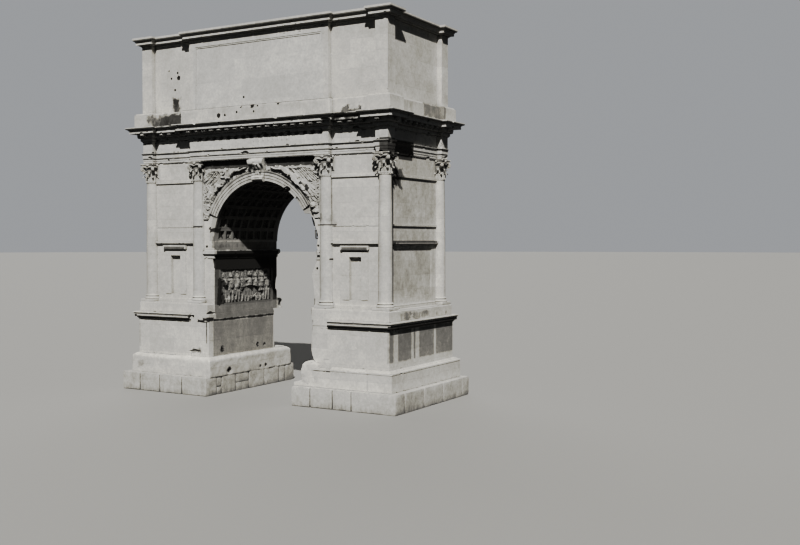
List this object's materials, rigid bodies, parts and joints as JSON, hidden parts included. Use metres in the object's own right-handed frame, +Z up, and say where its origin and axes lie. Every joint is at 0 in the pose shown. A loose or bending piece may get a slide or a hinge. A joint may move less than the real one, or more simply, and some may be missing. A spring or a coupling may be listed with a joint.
{
  "type": "triumphal arch",
  "caption": "Single-bay stone triumphal arch with engaged columns, coffered barrel vault, broken entablature and attic with bare panels.",
  "frame": {"origin": "on the ground plane under the middle of the passage", "axes": "+X along the front to the right, +Y from the front to the back, +Z up"},
  "size_m": [15.18, 6.68, 16.63],
  "materials": {
    "marble": "weathered marble, worn and stained",
    "travertine": "dressed travertine, pale and pitted",
    "foundation_stone": "rough weathered footing stone",
    "panel_marble": "smooth marble slab with rain streaks",
    "vault_marble": "sheltered marble, grey with dirt"
  },
  "bodies": {
    "root": {"arch_masonry": "vault_marble", "architrave": "marble", "archivolt_back": "marble", "archivolt_front": "marble", "attic_base": "travertine", "attic_cornice": "travertine", "attic_wall": "travertine", "blind_window_back_left": "travertine", "blind_window_back_right": "travertine", "blind_window_front_left": "travertine", "blind_window_front_right": "travertine", "capitals_inner_left": "marble", "capitals_inner_right": "marble", "capitals_outer_left": "travertine", "capitals_outer_right": "travertine", "columns_inner_left": "marble", "columns_inner_right": "marble", "columns_outer_left": "travertine", "columns_outer_right": "travertine", "cornice": "marble", "foundation_left": "foundation_stone", "foundation_right": "foundation_stone", "frieze": "marble", "impost_left": "marble", "impost_right": "marble", "inscription_panel_back": "panel_marble", "inscription_panel_front": "panel_marble", "keystone_back": "marble", "keystone_front": "marble", "pier_left": "travertine", "pier_right": "travertine", "podium_base_left": "travertine", "podium_base_right": "travertine", "podium_cornice_left": "travertine", "podium_cornice_right": "travertine", "podium_dado_left": "travertine", "podium_dado_right": "travertine", "relief_panel_left": "vault_marble", "relief_panel_right": "vault_marble", "spandrels_back": "marble", "spandrels_front": "marble", "string_courses_left": "travertine", "string_courses_right": "travertine", "stylobate_left": "travertine", "stylobate_right": "travertine", "vault_coffers": "vault_marble"}
  },
  "joints": []
}
